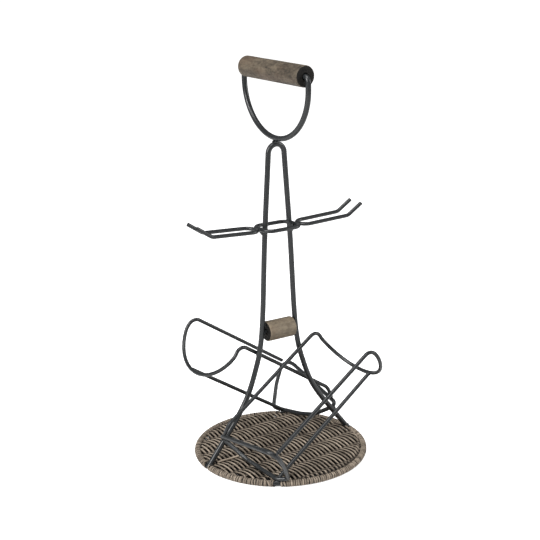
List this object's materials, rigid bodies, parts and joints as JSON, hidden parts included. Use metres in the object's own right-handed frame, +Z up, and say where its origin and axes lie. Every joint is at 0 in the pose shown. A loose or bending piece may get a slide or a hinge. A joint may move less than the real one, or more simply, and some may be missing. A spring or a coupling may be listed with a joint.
{
  "type": "wine bottle and glass holder",
  "caption": "Bent steel wire holder on a woven cane base for slanted wine bottles and upturned stemmed glasses, with a D handle and turning wooden grips.",
  "frame": {"origin": "middle of the round base, on the table", "axes": "+Z up the hairpin post, X in the plane of the hairpin and along the glass forks, Y along the handle grip; the holder repeats itself after half a turn about Z"},
  "size_m": [0.1928, 0.211, 0.4097],
  "materials": {
    "base_hoop": "satin dark graphite coating on bent steel wire",
    "cradle_frame_back": "satin dark graphite coating on bent steel wire",
    "cradle_frame_front": "satin dark graphite coating on bent steel wire",
    "glass_fork_left": "satin dark graphite coating on bent steel wire",
    "glass_fork_right": "satin dark graphite coating on bent steel wire",
    "glass_ring": "satin dark graphite coating on bent steel wire",
    "hairpin_post": "satin dark graphite coating on bent steel wire",
    "handle_bow": "satin dark graphite coating on bent steel wire",
    "lower_grip": "grey-brown stained hardwood dowel, matt, dark end grain",
    "lower_grip_pin": "satin dark graphite coating on bent steel wire",
    "mat_stake_1": "weathered grey-brown cane, matt",
    "mat_stake_2": "weathered grey-brown cane, matt",
    "mat_stake_3": "weathered grey-brown cane, matt",
    "mat_stake_4": "weathered grey-brown cane, matt",
    "mat_stake_5": "weathered grey-brown cane, matt",
    "mat_stake_6": "weathered grey-brown cane, matt",
    "mat_weaver": "weathered grey-brown cane, matt",
    "rim_binding_back_left": "weathered grey-brown cane, matt",
    "rim_binding_back_right": "weathered grey-brown cane, matt",
    "rim_binding_front_left": "weathered grey-brown cane, matt",
    "rim_binding_front_right": "weathered grey-brown cane, matt",
    "ring_gusset_left": "satin dark graphite coating on bent steel wire",
    "ring_gusset_right": "satin dark graphite coating on bent steel wire",
    "saddle_brace_back": "satin dark graphite coating on bent steel wire",
    "saddle_brace_front": "satin dark graphite coating on bent steel wire",
    "stop_loop_back": "satin dark graphite coating on bent steel wire",
    "stop_loop_front": "satin dark graphite coating on bent steel wire",
    "top_grip": "grey-brown stained hardwood dowel, matt, dark end grain"
  },
  "bodies": {
    "stand": {"base_hoop": "base_hoop", "cradle_frame_back": "cradle_frame_back", "cradle_frame_front": "cradle_frame_front", "glass_fork_left": "glass_fork_left", "glass_fork_right": "glass_fork_right", "glass_ring": "glass_ring", "hairpin_post": "hairpin_post", "handle_bow": "handle_bow", "lower_grip_pin": "lower_grip_pin", "mat_stake_1": "mat_stake_1", "mat_stake_2": "mat_stake_2", "mat_stake_3": "mat_stake_3", "mat_stake_4": "mat_stake_4", "mat_stake_5": "mat_stake_5", "mat_stake_6": "mat_stake_6", "mat_weaver": "mat_weaver", "rim_binding_back_left": "rim_binding_back_left", "rim_binding_back_right": "rim_binding_back_right", "rim_binding_front_left": "rim_binding_front_left", "rim_binding_front_right": "rim_binding_front_right", "ring_gusset_left": "ring_gusset_left", "ring_gusset_right": "ring_gusset_right", "saddle_brace_back": "saddle_brace_back", "saddle_brace_front": "saddle_brace_front", "stop_loop_back": "stop_loop_back", "stop_loop_front": "stop_loop_front"},
    "top_grip": {"top_grip": "top_grip"},
    "lower_grip": {"lower_grip": "lower_grip"}
  },
  "joints": [
    {"name": "top_grip_turn", "type": "hinge", "parent": "stand", "child": "top_grip", "pos_m": [0, 0, 0.3992], "axis": [0, 1, 0], "continuous": true},
    {"name": "lower_grip_turn", "type": "hinge", "parent": "stand", "child": "lower_grip", "pos_m": [0, 0, 0.1354], "axis": [1, 0, 0], "continuous": true}
  ]
}
